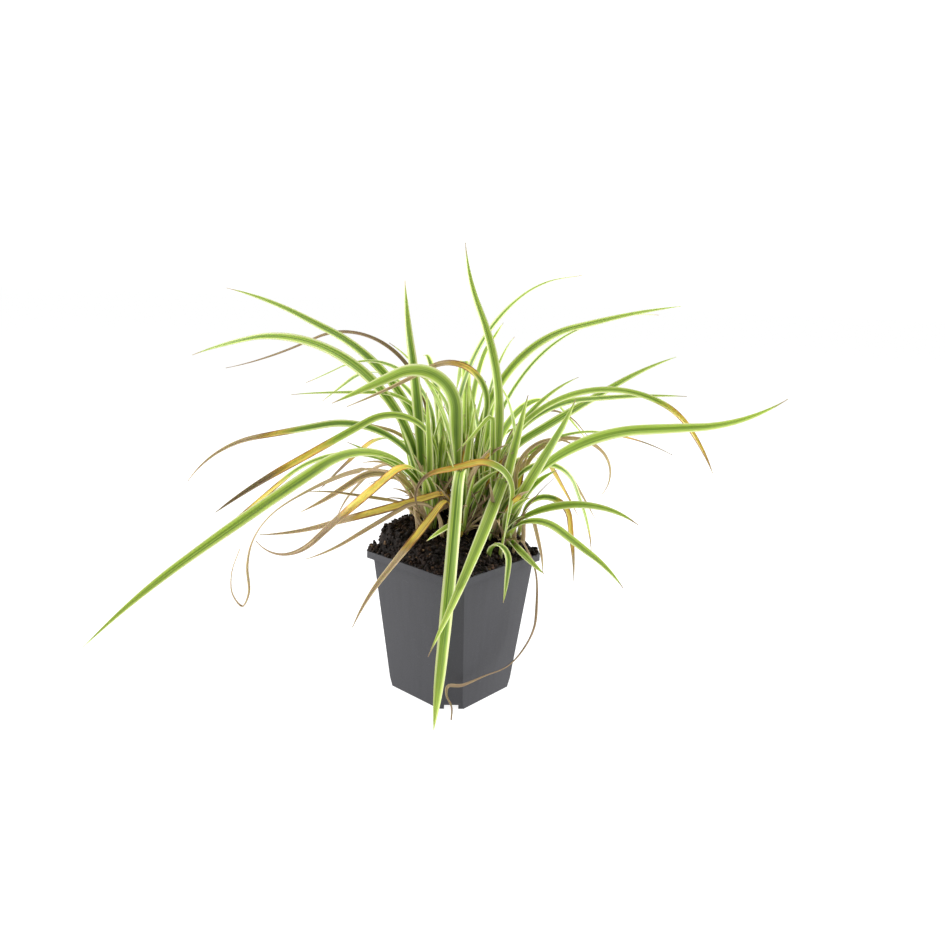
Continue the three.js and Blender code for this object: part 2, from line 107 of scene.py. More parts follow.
# One leaf: heading, lean, droop, from, to, sweep, length, width, twist and curl.
# Angles are in degrees, `from` and `to` are shares of the length.
GREEN_SHOOTS = {
    "shoots_left": [
        ((-24.5, 6), [
            (205, -2, 67, 0, 0.65, 2, 245, 6, -50, 13),
            (220, 3, 92, 0.3, 0.65, 0, 170, 4.5, -25, 4),
            (211, 3, 120, 0.35, 0.85, -1, 185, 4.5, -20, -7),
            (216, -9, 101, 0.55, 1.2, 0, 110, 5, -30, 0),
        ]),
        ((-25.5, -5), [
            (208, 6, 101, 0.1, 0.8, -2, 255, 6.5, -50, 9),
            (186, 4, 11, 0.15, 0.7, 0, 165, 5, -30, -7),
            (206, 7, 52, 0.3, 1.05, 0, 95, 4, -15, 0),
        ]),
        ((-15, -8.5), [
            (230, -2, 101, 0.05, 0.55, 5, 215, 5, -60, 45),
            (237, -5, 119, 0.2, 0.5, 3, 225, 5, -55, 6),
            (245, 15, 129, 0.05, 0.6, -1, 215, 4.5, -20, -6),
            (248, -5, 119, 0, 0.4, 17, 280, 8.5, -45, 9),
            (230, 9, 66, 0.15, 0.65, 0, 90, 4.5, -30, 0),
        ]),
    ],
    "shoots_middle": [
        ((5.5, 1), [
            (310, 11, 157, 0.17, 0.37, -10, 224, 8.5, 14, -4),
            (290, 13, 91, 0, 0.4, 0, 65, 5, 0, 0),
        ]),
        ((-4, 7), [
            (241, 3, 114, 0.45, 0.75, 1, 185, 10.5, -85, 0),
            (220, 3, 35, 0.35, 1.05, 0, 100, 5, -35, -5),
        ]),
    ],
    "shoots_back": [
        ((-19, 18.5), [
            (77, 0, 77, 0.25, 0.9, 2, 235, 5, 5, 5),
            (196, 4, 62, 0.3, 1, 4, 140, 5, -10, 0),
        ]),
        ((-31, 20), [
            (168, 10, 118, 0.1, 0.8, 8, 230, 6.5, 10, 0),
            (148, 6, 88, 0.15, 0.9, -6, 175, 6, -10, 10),
            (184, 14, 128, 0.05, 0.6, -5, 185, 5.5, 15, 0),
        ]),
        ((-19.5, 30), [
            (119, 6, 75, 0.2, 0.7, 1, 210, 4.5, -10, 0),
            (132, 8, 112, 0.1, 0.75, 6, 250, 7, 5, 10),
            (150, 16, 134, 0.1, 0.7, 0, 160, 5.5, -10, 0),
        ]),
    ],
    "shoots_right_back": [
        ((-4.5, 18), [
            (238, 0, 32, 0.2, 1, 0, 88, 4.5, -80, 0),
            (180, 2, 4, 0.15, 0.75, 0, 100, 5, 0, 0),
            (243, -8, 117, 0.4, 0.7, 0, 205, 6, -85, -6),
        ]),
        ((-2, 27), [
            (68, -5, 77, 0.15, 0.65, -3, 265, 6, 45, 6),
            (80, 3, 76, 0.1, 0.7, -3, 260, 3.5, 5, 17),
            (105, 2, 84, 0.4, 1.15, 2, 150, 4.5, -30, 0),
        ]),
        ((-6, 34.5), [
            (100, 10, 124, 0.1, 0.75, -6, 220, 6.5, 10, 0),
            (86, 16, 138, 0.05, 0.65, 5, 165, 5.5, 0, 0),
            (120, 6, 84, 0.2, 0.9, 4, 150, 5, -10, 10),
        ]),
    ],
    "shoots_right": [
        ((10.5, 21), [
            (185, -6, 31, 0.3, 0.8, 0, 201, 5, -33, -25),
            (54, 6, 59, 0.15, 0.4, 0, 195, 6, 50, 12),
            (42, 7, 84, 0.2, 0.65, 0, 195, 4.5, 45, 6),
            (34, 6, 133, 0.15, 0.85, 2, 240, 5, 60, 22),
            (64, 9, 69, 0.25, 1, 0, 135, 4.5, 40, 0),
            (58, 8, 101, 0.05, 0.7, -3, 180, 3.5, 20, 15),
        ]),
        ((20.5, 16.5), [
            (27, 29, 83, 0.15, 0.6, 1, 223, 7.5, 60, -32),
            (15, 12, 12, 0.2, 0.75, 0, 105, 7, 88, 0),
            (249, 3, 137, 0.7, 0.75, 3, 120, 4.5, -95, -6),
        ]),
        ((23.5, 26), [
            (297, -14, 129, 0.24, 0.29, -14, 212, 9, 0, 0),
            (26, 38, 114, 0, 0.95, 1, 103, 5.5, 55, 6),
            (38, 7, 157, 0.25, 0.65, 0, 140, 5, 30, 16),
            (160, -6, 106, 0.5, 1.15, -2, 124, 4.5, 30, 0),
        ]),
        ((30, 17.5), [
            (18, 10, 28, 0.05, 0.4, 0, 115, 7, 80, -9),
            (6, 13, 115, 0, 0.5, -1, 110, 5.5, 40, 20),
            (352, 8, 114, 0, 0.28, 1, 47, 4.9, 29, -9),
        ]),
    ],
}
# How much broader some blades are than their solids, and the ones that stay broad almost to the tip.
BROAD = {
    ("shoots_left", 0, 0): 1.05,
    ("shoots_left", 0, 1): 1.1,
    ("shoots_left", 1, 0): 1.15,
    ("shoots_left", 1, 1): 1.5,
    ("shoots_left", 2, 1): 0.95,
    ("shoots_left", 2, 3): 0.88,
    ("shoots_middle", 0, 0): 0.92,
    ("shoots_middle", 1, 0): 0.9,
    ("shoots_right", 0, 0): 1.3,
    ("shoots_right", 0, 2): 1.15,
    ("shoots_right", 0, 3): 0.8,
    ("shoots_right", 2, 0): 0.95,
    ("shoots_right_back", 0, 2): 0.75,
    ("yellow_leaf_left_front", 0, 0): 1.05,
    ("dry_leaf_left_low", 0, 0): 1.25,
    ("dry_leaf_right_hooked", 0, 0): 1.25,
}
BROADER = 1.08
BLUNT = {("shoots_middle", 0, 0), ("shoots_left", 2, 1), ("shoots_right", 0, 3)}

SINGLE_LEAVES = {
    "green_leaf_right_front": ((34, -3), (356, 9, 185, 0.09, 0.54, -1, 61, 4.1, 24, 4)),
    "yellow_leaf_middle": ((37, 5), (230, -8, 104, 0.31, 0.58, -2, 146, 4.8, -60, 125)),
    "yellow_leaf_left": ((-0.5, -6), (251, -9, 100, 0.13, 0.25, -3, 157, 5.5, -49, -16)),
    "yellow_leaf_left_front": ((-10, -13.5), (278, 3, 108, 0.1, 0.38, 11, 214, 5.1, -28, -67)),
    "yellow_leaf_front": ((4.2, -11), (276, -12, 125, 0.15, 0.28, -5, 138, 5.4, -26, 22)),
    "yellow_leaf_right": ((28.5, 33.5), (27, 12, 171, 0.2, 0.6, 1, 110, 4.5, 50, 5)),
    "dry_leaf_back_left": ((-36.5, 7.5), (200, 0, 113, 0.25, 0.7, 4, 275, 4.5, -20, -11)),
    "dry_leaf_left": ((-32.5, -0.5), (216, -3, 78, 0.24, 0.64, 0, 118, 4.5, -22, 31)),
    "dry_leaf_left_short": ((-34, -7.5), (212, 8, 97, 0.3, 0.9, 0, 65, 4.5, -15, 0)),
    "dry_leaf_left_low": ((-22.5, -12.5), (230, 11, 123, 0.15, 0.6, 0, 110, 5, -55, -9)),
    "dry_leaf_left_thin": ((-14, -17), (238, 12, 79, 0, 0.4, 0, 90, 3.5, -25, 10)),
    "dry_leaf_left_front": ((1.5, -13.5), (255, 10, 113, 0.1, 0.4, 0, 120, 5, -15, -18)),
    "dry_leaf_right_hooked": ((12, 29.5), (44, 26, 186, 0.37, 0.98, 0, 144, 4.5, 25, 26)),
    "dry_leaf_right_back": ((9.5, 35.5), (58, 3, 136, 0.4, 0.9, 1, 142, 3.5, 10, 0)),
    "dry_leaf_right": ((31, 26.3), (52, -1, 131, 0.44, 1, 1, 107, 3.7, 62, 6)),
    "dry_leaf_rim": ((35, 31), (10, 3, 161, 0.3, 0.45, 0, 60, 4.5, 5, 12)),
    "dry_leaf_far_back": ((-13, 36), (126, 14, 140, 0.1, 0.7, 6, 190, 5, 20, 0)),
    "dry_leaf_far_left": ((-33, 12), (176, 22, 132, 0, 0.6, 6, 150, 4.5, 10, 20)),
    "dry_leaf_far_right": ((2, 34), (76, 24, 140, 0.1, 0.7, 6, 150, 4.5, -10, 0)),
}

# Where a leaf yellows and where it is dry, as shares of its length. Others only have a dry tip.
TIP_AGEING = (1.3, 0.955)
FRESH = (1.3, 1.4)
DRY = (-1, -1)
AGEING = {
    ("shoots_left", 2, 0): (0.55, 0.72),
    ("shoots_left", 2, 1): (0.52, 0.78),
    ("shoots_left", 2, 2): (0.5, 0.75),
    ("shoots_left", 2, 3): FRESH,
    ("shoots_middle", 0, 0): FRESH,
    ("shoots_right_back", 0, 2): (0.42, 0.6),
    ("shoots_right_back", 1, 0): FRESH,
    ("shoots_right_back", 2, 1): (0.5, 0.85),
    ("shoots_right", 0, 1): FRESH,
    ("shoots_right", 0, 3): (0.66, 0.97),
    ("shoots_right", 0, 5): (0.6, 0.82),
    ("shoots_right", 2, 1): (1.3, 0.92),
    ("shoots_right", 2, 2): (0.8, 0.95),
    ("shoots_back", 1, 2): (0.4, 0.7),
    ("shoots_back", 2, 2): (0.3, 0.6),
    ("yellow_leaf_middle", 0, 0): (0.4, 0.76),
    ("yellow_leaf_left", 0, 0): (0.0, 0.6),
    ("yellow_leaf_left_front", 0, 0): (0.2, 0.6),
    ("yellow_leaf_front", 0, 0): (0.0, 0.55),
    ("yellow_leaf_right", 0, 0): (0.35, 0.8),
}

# Leaves that have dried to a thread, each along a route of its own.
STRANDS = {
    "dry_strand_right": (
        (38, 18, 99), (39, 18.5, 106), (42.5, 20, 109), (48, 22, 101), (52, 25, 88),
        (53, 27, 65), (52, 27, 48), (50, 18, 34), (48, 4, 26), (44, -14, 24),
        (40, -31, 22), (37, -42, 24), (39, -45, 20), (42, -43, 12), (43, -44, 4),
    ),
    "dry_strand_left": (
        (-12, -24, 106), (-12, -24.5, 117), (-13, -30, 136), (-18, -42, 152), (-26, -60, 156),
        (-34, -75, 152), (-52, -108, 132), (-59, -119, 115), (-62, -122, 98), (-61, -122, 80),
        (-64, -125, 71), (-68, -129, 79), (-68, -129, 93), (-63, -126, 109),
    ),
}

YOUNG_WIDTH = 5.5
YOUNG_LEAST = 65
YOUNG_SPARE = 35
YOUNG_DRAW = 229
YOUNG_FACTOR = 16807
YOUNG_MODULUS = 2147483647


def colour(red, green, blue):
    """Linear colour of a screen colour given as 0 to 255."""

    def linear(value):
        share = value / 255
        return share / 12.92 if share <= 0.04045 else ((share + 0.055) / 1.055) ** 2.4

    return (linear(red), linear(green), linear(blue), 1.0)


def ramp(value, low, high):
    return min(max((value - low) / (high - low), 0.0), 1.0)


def smooth(value, low, high):
    share = ramp(value, low, high)
    return share * share * (3 - 2 * share)


# ------------------------------------------------------------------ settings
class PotSettings(bpy.types.PropertyGroup):
    colour: FloatVectorProperty(
        name="Plastic", description="Colour of the pot's plastic", subtype="COLOR", size=4,
        min=0, max=1, default=colour(62, 62, 66),
    )
    edge: FloatProperty(
        name="Edge rounding", description="Radius of the moulded edges", unit="LENGTH",
        default=0.45 * MM, min=0,
    )


class SoilSettings(bpy.types.PropertyGroup):
    colour: FloatVectorProperty(
        name="Soil", description="Colour of the damp potting soil", subtype="COLOR", size=4,
        min=0, max=1, default=colour(54, 39, 30),
    )
    crumbs: IntProperty(
        name="Crumbs", description="Number of loose crumbs on the heap", default=2400, min=0
    )
    crumb: FloatProperty(
        name="Crumb size", description="Middle radius of a crumb", unit="LENGTH", default=1.0 * MM, min=0
    )
    fibres: IntProperty(name="Fibres", description="Number of pale root threads", default=46, min=0)


class LeafSettings(bpy.types.PropertyGroup):
    thickness: FloatProperty(
        name="Thickness", description="Thickness of a blade", unit="LENGTH", default=0.42 * MM, min=0
    )
    # The shaded and the bright green are painted shade and painted light: lit and shaded copies of the
    # stripe's one green.
    green: FloatVectorProperty(
        name="Shaded green", description="Deep green of the middle stripe", subtype="COLOR", size=4,
        min=0, max=1, default=colour(98, 130, 46),
    )
    sunlit: FloatVectorProperty(
        name="Bright green", description="Yellow-green of the middle stripe", subtype="COLOR", size=4,
        min=0, max=1, default=colour(180, 203, 84),
    )
    margin: FloatVectorProperty(
        name="Margins", description="Cream of the leaf's margins", subtype="COLOR", size=4,
        min=0, max=1, default=colour(238, 242, 188),
    )
    yellow: FloatVectorProperty(
        name="Yellowing", description="Colour of an ageing leaf", subtype="COLOR", size=4,
        min=0, max=1, default=colour(240, 204, 66),
    )
    dry: FloatVectorProperty(
        name="Dry", description="Colour of a dead leaf", subtype="COLOR", size=4,
        min=0, max=1, default=colour(202, 176, 138),
    )


SETTINGS = {"sedge_pot": PotSettings, "sedge_soil": SoilSettings, "sedge_leaf": LeafSettings}


# ------------------------------------------------------------------ shader nodes as plain arithmetic
class Value:
    """A socket that takes part in arithmetic: each operator adds a Math node."""

    def __init__(self, shader, socket):
        self.shader = shader
        self.socket = socket

    def __add__(self, other):
        return self.shader.math("ADD", self, other)

    def __mul__(self, other):
        return self.shader.math("MULTIPLY", self, other)

    def __sub__(self, other):
        return self.shader.math("SUBTRACT", self, other)


class Shader:
    """The nodes of one material."""

    def __init__(self, name):
        self.material = bpy.data.materials.new(name)
        self.material.use_nodes = True
        self.tree = self.material.node_tree
        self.tree.nodes.clear()

    def node(self, kind, settings=None, sockets=None):
        """Adds a node: its settings first, then its sockets' values or links, by name or by number."""
        made = self.tree.nodes.new(kind)
        for name, value in (settings or {}).items():
            setattr(made, name, value)
        for name, value in (sockets or {}).items():
            if isinstance(value, Value):
                self.tree.links.new(value.socket, made.inputs[name])
            else:
                made.inputs[name].default_value = value
        return made

    def math(self, operation, *values):
        made = self.node("ShaderNodeMath", {"operation": operation}, dict(enumerate(values)))
        return Value(self, made.outputs[0])

    def step(self, value, low, high, start=0.0, end=1.0):
        """Goes smoothly from start to end while the value goes from low to high."""
        made = self.node(
            "ShaderNodeMapRange",
            {"interpolation_type": "SMOOTHSTEP"},
            {"Value": value, "From Min": low, "From Max": high, "To Min": start, "To Max": end},
        )
        return Value(self, made.outputs["Result"])

    def mix(self, factor, below, above):
        """Mixes two colours."""
        made = self.node("ShaderNodeMix", {"data_type": "RGBA"}, {0: factor, 6: below, 7: above})
        return Value(self, made.outputs[2])

    def attribute(self, name):
        made = self.node("ShaderNodeAttribute", {"attribute_name": name})
        return Value(self, made.outputs["Fac"])

    def uv(self, name):
        made = self.node("ShaderNodeUVMap", {"uv_map": name})
        return Value(self, made.outputs["UV"])

    def place(self):
        made = self.node("ShaderNodeTexCoord")
        return Value(self, made.outputs["Object"])

    def parts(self, vector):
        made = self.node("ShaderNodeSeparateXYZ", None, {0: vector})
        return [Value(self, socket) for socket in made.outputs]

    def scaled(self, vector, scale):
        made = self.node("ShaderNodeVectorMath", {"operation": "MULTIPLY"}, {0: vector, 1: scale})
        return Value(self, made.outputs[0])

    def noise(self, vector, scale, detail=3.0, roughness=0.55):
        made = self.node(
            "ShaderNodeTexNoise", None,
            {"Vector": vector, "Scale": scale, "Detail": detail, "Roughness": roughness},
        )
        return Value(self, made.outputs["Fac"])

    def cells(self, vector, scale):
        made = self.node("ShaderNodeTexVoronoi", None, {"Vector": vector, "Scale": scale})
        return Value(self, made.outputs["Distance"])

    def bump(self, height, distance, strength=1.0, below=None):
        sockets = {"Height": height, "Distance": distance, "Strength": strength}
        if below is not None:
            sockets["Normal"] = below
        made = self.node("ShaderNodeBump", None, sockets)
        return Value(self, made.outputs["Normal"])

    def finish(self, **sockets):
        """The surface itself, from the sockets' names with their spaces left out."""
        named = {
            "base": "Base Color", "roughness": "Roughness", "normal": "Normal",
            "specular": "Specular IOR Level", "glow": "Subsurface Weight",
            "glow_radius": "Subsurface Radius", "glow_scale": "Subsurface Scale",
            "emission": "Emission Color", "emission_strength": "Emission Strength",
        }
        surface = self.node("ShaderNodeBsdfPrincipled", None, {named[k]: v for k, v in sockets.items()})
        output = self.node("ShaderNodeOutputMaterial")
        self.tree.links.new(surface.outputs[0], output.inputs["Surface"])
        return self.material


def pot_plastic():
    """Matt anthracite plastic with a fine moulded grain, soil dust and a few scuffs."""
    settings = bpy.context.scene.sedge_pot
    shader = Shader("pot_plastic")
    place = shader.place()
    grain = shader.noise(place, 1500.0, 2.0)
    cloud = shader.noise(place, 22.0, 3.0)
    flow = shader.noise(shader.scaled(place, (260.0, 260.0, 18.0)), 1.0, 2.0)
    scuff = shader.step(shader.noise(shader.scaled(place, (90.0, 90.0, 900.0)), 1.0, 4.0), 0.66, 0.74)
    dust = shader.step(shader.noise(place, 420.0, 5.0), 0.62, 0.78)
    height = shader.parts(place)[2]
    base = shader.mix(shader.step(cloud, 0.3, 0.7), tuple(settings.colour), colour(67, 67, 71))
    base = shader.mix(shader.step(flow, 0.35, 0.75) * 0.3, base, colour(56, 56, 59))
    base = shader.mix(shader.step(grain, 0.42, 0.75) * 0.35, base, colour(78, 78, 82))
    base = shader.mix(scuff * 0.3, base, colour(100, 100, 103))
    dusty = dust * shader.step(height, 0.07, 0.098, 0.06, 0.4)
    base = shader.mix(dusty, base, colour(86, 74, 64))
    rough = shader.step(cloud, 0.3, 0.7, 0.5, 0.62) + scuff * 0.08
    normal = shader.bump(grain, 0.00006, 0.5)
    normal = shader.bump(flow, 0.0001, 0.3, normal)
    return shader.finish(base=base, roughness=rough, normal=normal, specular=0.3)


def damp_soil():
    """Dark peaty soil with redder and paler bits, and painted shade, nearly black, between its lumps."""
    settings = bpy.context.scene.sedge_soil
    shader = Shader("damp_soil")
    place = shader.place()
    tone = shader.attribute("tone")
    fine = shader.noise(place, 900.0, 4.0, 0.7)
    lumps = shader.cells(place, 520.0)
    broad = shader.noise(place, 70.0, 3.0)
    base = shader.mix(shader.step(fine, 0.35, 0.7), colour(17, 12, 9), tuple(settings.colour))
    base = shader.mix(shader.step(broad, 0.42, 0.66) * 0.55, base, colour(72, 48, 34))
    base = shader.mix(shader.step(tone, 0.8, 0.95), base, colour(92, 64, 44))
    base = shader.mix(shader.step(tone, 0.965, 0.985), base, colour(150, 122, 92))
    # Painted shade: nearly black towards the edges of the cells, where the lumps meet.
    base = shader.mix(shader.step(lumps, 0.15, 0.5) * 0.7, base, colour(10, 7, 6))
    normal = shader.bump(fine, 0.0006, 0.9)
    normal = shader.bump(lumps, 0.0008, 0.6, normal)
    rough = shader.step(fine, 0.2, 0.8, 0.7, 0.95)
    return shader.finish(base=base, roughness=rough, normal=normal, specular=0.25)


def leaf_blade(name):
    """A blade with cream margins that yellows, then dries, towards its tip."""
    settings = bpy.context.scene.sedge_leaf
    shader = Shader(name)
    side, along, _ = shader.parts(shader.uv("UVMap"))
    grain = shader.uv("Grain")
    tone = shader.attribute("tone")
    yellowing = shader.attribute("yellowing")
    dryness = shader.attribute("dryness")
    streaks = shader.noise(shader.scaled(grain, (0.95, 0.009, 1.0)), 1.0, 1.0)
    lines = shader.noise(shader.scaled(grain, (2.6, 0.012, 1.0)), 1.0, 2.0)
    fine_lines = shader.noise(shader.scaled(grain, (7.0, 0.03, 1.0)), 1.0, 1.0)
    blotch = shader.noise(shader.scaled(grain, (0.45, 0.07, 1.0)), 1.0, 4.0)
    out = shader.math("ABSOLUTE", side * 2.0 - 1.0)

    edge = out + (lines - 0.5) * 0.16 + (streaks - 0.5) * 0.3 - (tone - 0.5) * 0.16
    # Painted light: each blade's stripe goes from the shaded green to the sunlit green by its tone, lighter
    # towards the tip and in blotches.
    light = shader.step(tone + (along - 0.4) * 0.5 + (blotch - 0.5) * 0.5, 0.05, 0.95)
    deep = shader.mix(light, tuple(settings.green), colour(136, 162, 56))
    middle = shader.mix(light, colour(132, 162, 60), tuple(settings.sunlit))
    green = shader.mix(shader.step(edge, 0.26, 0.46), deep, middle)
    green = shader.mix(shader.step(streaks, 0.52, 0.66) * 0.7, green, colour(188, 211, 94))
    green = shader.mix(shader.step(streaks, 0.46, 0.33) * 0.6, green, colour(86, 114, 40))
    green = shader.mix(shader.step(lines, 0.5, 0.75) * 0.45, green, colour(170, 194, 92))
    green = shader.mix(shader.step(fine_lines, 0.5, 0.8) * 0.4, green, colour(80, 110, 42))
    pale = shader.mix(shader.step(fine_lines, 0.4, 0.7), colour(208, 224, 124), colour(182, 206, 94))
    green = shader.mix(shader.step(edge, 0.6, 0.7) * 0.85, green, pale)
    cream = shader.mix(shader.step(fine_lines, 0.35, 0.75), tuple(settings.margin), colour(204, 216, 142))
    blade = shader.mix(shader.step(edge, 0.74, 0.81), green, cream)
    sheath = shader.step(along + (blotch - 0.5) * 0.1, 0.13, 0.02)
    blade = shader.mix(sheath * 0.75, blade, colour(112, 98, 60))
    blade = shader.mix(shader.step(along, 0.7, 0.97) * 0.5, blade, colour(190, 208, 96))

    yellow_mask = shader.step(yellowing + (blotch - 0.5) * 0.7, 0.2, 0.75)
    golden = shader.mix(shader.step(lines, 0.35, 0.65), tuple(settings.yellow), colour(244, 224, 120))
    olive = shader.step(blotch - out * 0.2 + (streaks - 0.5) * 0.6, 0.4, 0.56)
    golden = shader.mix(olive * 0.4, golden, colour(178, 176, 60))
    golden = shader.mix(shader.step(streaks, 0.47, 0.32) * 0.7, golden, colour(196, 142, 50))
    amber = shader.step(out + (blotch - 0.5) * 1.1 + (fine_lines - 0.5) * 0.4, 0.5, 0.85)
    golden = shader.mix(amber * 0.7, golden, colour(222, 142, 50))
    blade = shader.mix(yellow_mask * 0.94, blade, golden)
    scorch = shader.step(edge + (blotch - 0.5) * 1.1, 0.8, 0.96) * yellow_mask
    blade = shader.mix(scorch * 0.85, blade, colour(100, 72, 44))

    dry_mask = shader.step(dryness + (blotch - 0.5) * 0.5 + (lines - 0.5) * 0.5, 0.3, 0.62)
    rust = shader.step(dryness + (blotch - 0.5) * 0.6, 0.02, 0.3) * yellow_mask
    blade = shader.mix(rust * 0.55, blade, colour(150, 100, 52))
    straw = shader.mix(shader.step(lines, 0.3, 0.75), tuple(settings.dry), colour(212, 190, 154))
    straw = shader.mix(shader.step(fine_lines, 0.45, 0.75) * 0.5, straw, colour(104, 84, 62))
    straw = shader.mix(shader.step(streaks, 0.46, 0.34) * 0.65, straw, colour(112, 90, 68))
    straw = shader.mix(shader.step(blotch, 0.52, 0.72) * 0.6, straw, colour(206, 184, 148))
    dark = shader.step(tone + (blotch - 0.5) * 0.8, 0.45, 0.95)
    straw = shader.mix(dark * 0.65, straw, colour(104, 80, 58))
    blade = shader.mix(dry_mask, blade, straw)

    rough = shader.step(dryness, 0.2, 0.7, 0.42, 0.85)
    normal = shader.bump(lines, 0.0002, 0.5)
    normal = shader.bump(fine_lines, 0.00008, 0.5, normal)
    return shader.finish(
        base=blade, roughness=rough, normal=normal, specular=0.35,
        glow=0.18, glow_radius=(0.7, 1.0, 0.25), glow_scale=0.0015,
    )


def studio_world():
    """White to the eye, and a softer white for the light that it gives."""
    world = bpy.data.worlds.new("studio")
    world.use_nodes = True
    tree = world.node_tree
    path = tree.nodes.new("ShaderNodeLightPath")
    strength = tree.nodes.new("ShaderNodeMapRange")
    strength.inputs["To Min"].default_value = 0.2
    strength.inputs["To Max"].default_value = 1.1
    tree.links.new(path.outputs["Is Camera Ray"], strength.inputs["Value"])
    background = tree.nodes["Background"]
    background.inputs["Color"].default_value = (1, 1, 1, 1)
    tree.links.new(strength.outputs["Result"], background.inputs["Strength"])
    return world


def pale_floor():
    shader = Shader("pale_floor")
    speck = shader.noise(shader.place(), 3.0, 2.0)
    base = shader.mix(speck, colour(140, 140, 141), colour(144, 144, 144))
    return shader.finish(
        base=base, roughness=0.9, specular=0.1, emission=(1, 1, 1, 1), emission_strength=0.94
    )


# ------------------------------------------------------------------ modelling helpers
def deselect_all():
    bpy.ops.object.select_all(action="DESELECT")


def use_only(made):
    deselect_all()
    made.select_set(True)
    bpy.context.view_layer.objects.active = made


def apply_modifier(made, kind, **settings):
    use_only(made)
    modifier = made.modifiers.new(kind.title(), kind)
    for name, value in settings.items():
        setattr(modifier, name, value)
    bpy.ops.object.modifier_apply(modifier=modifier.name)


def join(pieces, name):
    deselect_all()
    for made in pieces:
        made.select_set(True)
    bpy.context.view_layer.objects.active = pieces[0]
    if len(pieces) > 1:
        bpy.ops.object.join()
    joined = bpy.context.view_layer.objects.active
    joined.name = name
    joined.data.name = name
    return joined


def smooth_by_angle(made, degrees):
    use_only(made)
    bpy.ops.object.shade_smooth_by_angle(angle=math.radians(degrees))


def dress(made, material, slot, *nodes):
    """Gives a finished piece its material and its body, and hides the solids of the nodes that it stands for.
    The slot is not used.
    """
    made.data.materials.clear()
    made.data.materials.append(material)
    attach(made, "root")
    if nodes:
        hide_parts(*nodes)


def set_tone(made, values):
    layer = made.data.attributes.new("tone", "FLOAT", "POINT")
    layer.data.foreach_set("value", values)


# ------------------------------------------------------------------ pot
def make_pot():
    """A copy of the pot's solid with its moulded edges rounded."""
    use_only(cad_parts["pot"])
    bpy.ops.object.duplicate()
    pot = bpy.context.view_layer.objects.active
    pot.name = "nursery_pot"
    use_only(pot)
    bpy.ops.object.mode_set(mode="EDIT")
    bpy.ops.mesh.select_all(action="SELECT")
    bpy.ops.mesh.remove_doubles(threshold=0.02 * MM)
    bpy.ops.mesh.dissolve_limited(angle_limit=math.radians(1.5))
    bpy.ops.object.mode_set(mode="OBJECT")
    edge = bpy.context.scene.sedge_pot.edge
    apply_modifier(
        pot, "BEVEL", width=edge, segments=3, limit_method="ANGLE", angle_limit=math.radians(30),
        harden_normals=False,
    )
    smooth_by_angle(pot, 40)
    return pot


# ------------------------------------------------------------------ soil
def mixed(low, high, share):
    return tuple(a + (b - a) * share for a, b in zip(low, high))


def wall_at(height):
    return mixed(WALL_FOOT, WALL_TOP, min(height / (POT_HEIGHT - RIM_HEIGHT), 1.0))


def inner(size, inset):
    return size[0] - inset, size[1] - inset * (2 - math.sqrt(2))


def reach_of(size, angle):
    """Distance from the axis to the side of a cut-cornered square."""
    c, s = abs(math.cos(angle)), abs(math.sin(angle))
    return min(size[0] / max(c, s), (2 * size[0] - size[1]) / (c + s))


SOIL_TOP_SIZE = inner(WALL_TOP, WALL + 0.3)


def soil_height(x, y):
    out = math.hypot(x, y) / reach_of(SOIL_TOP_SIZE, math.atan2(y, x))
    rise = min(SOIL_MOST, SOIL_RISE + SOIL_TILT[0] * x + SOIL_TILT[1] * y)
    grain = math.sin(0.61 * x + 0.23 * y) + math.sin(0.53 * y - 0.31 * x + 1.3) + math.sin(0.9 * (x + y))
    shoulder = 1 - min(out, 1.0) ** 14
    return SOIL_EDGE + shoulder * (rise + SOIL_GRAIN * grain)


def make_heap():
    """The body of soil: a ball whose rings are laid down the pot's inside and over the heap."""
    deselect_all()
    segments, rings = 168, 96
    bpy.ops.mesh.primitive_uv_sphere_add(segments=segments, ring_count=rings, radius=1)
    heap = bpy.context.view_layer.objects.active
    heap.name = "soil_heap"
    for vertex in heap.data.vertices:
        polar = math.acos(max(-1.0, min(1.0, vertex.co.z))) / math.pi
        angle = math.atan2(vertex.co.y, vertex.co.x)
        if polar < HEAP_TOP:
            share = (polar / HEAP_TOP) ** 0.9
            reach = reach_of(SOIL_TOP_SIZE, angle) * share
            x, y = math.cos(angle) * reach, math.sin(angle) * reach
            rough = noise.fractal(Vector((x, y, 3.0)) * 0.32, 0.9, 2.1, 4) * 1.5
            z = max(soil_height(x, y) + rough, POT_HEIGHT + 0.6 if share > 0.97 else 0.0)
        elif polar < HEAP_SPILL:
            over = math.sin((polar - HEAP_TOP) / (HEAP_SPILL - HEAP_TOP) * math.pi)
            spill = 3.6 + 1.5 * noise.noise(Vector((math.cos(angle), math.sin(angle), 0.3)) * 9)
            reach = reach_of(SOIL_TOP_SIZE, angle) + max(over, 0.0) * min(spill, 4.3)
            x, y = math.cos(angle) * reach, math.sin(angle) * reach
            z = POT_HEIGHT + (0.7 if polar < (HEAP_TOP + HEAP_SPILL) / 2 else 0.05)
        elif polar < HEAP_SIDE:
            z = POT_HEIGHT - (polar - HEAP_SPILL) / (HEAP_SIDE - HEAP_SPILL) * (POT_HEIGHT - SOIL_FOOT)
            reach = reach_of(inner(wall_at(z), WALL + 0.4), angle)
            x, y = math.cos(angle) * reach, math.sin(angle) * reach
        else:
            share = 1 - (polar - HEAP_SIDE) / (1 - HEAP_SIDE)
            z = SOIL_FOOT - (1 - share) * 3.6
            reach = reach_of(inner(wall_at(7), WALL + 0.8), angle) * share
            x, y = math.cos(angle) * reach, math.sin(angle) * reach
        vertex.co = Vector((x, y, z)) * MM
    set_tone(heap, [0.3] * len(heap.data.vertices))
    return heap


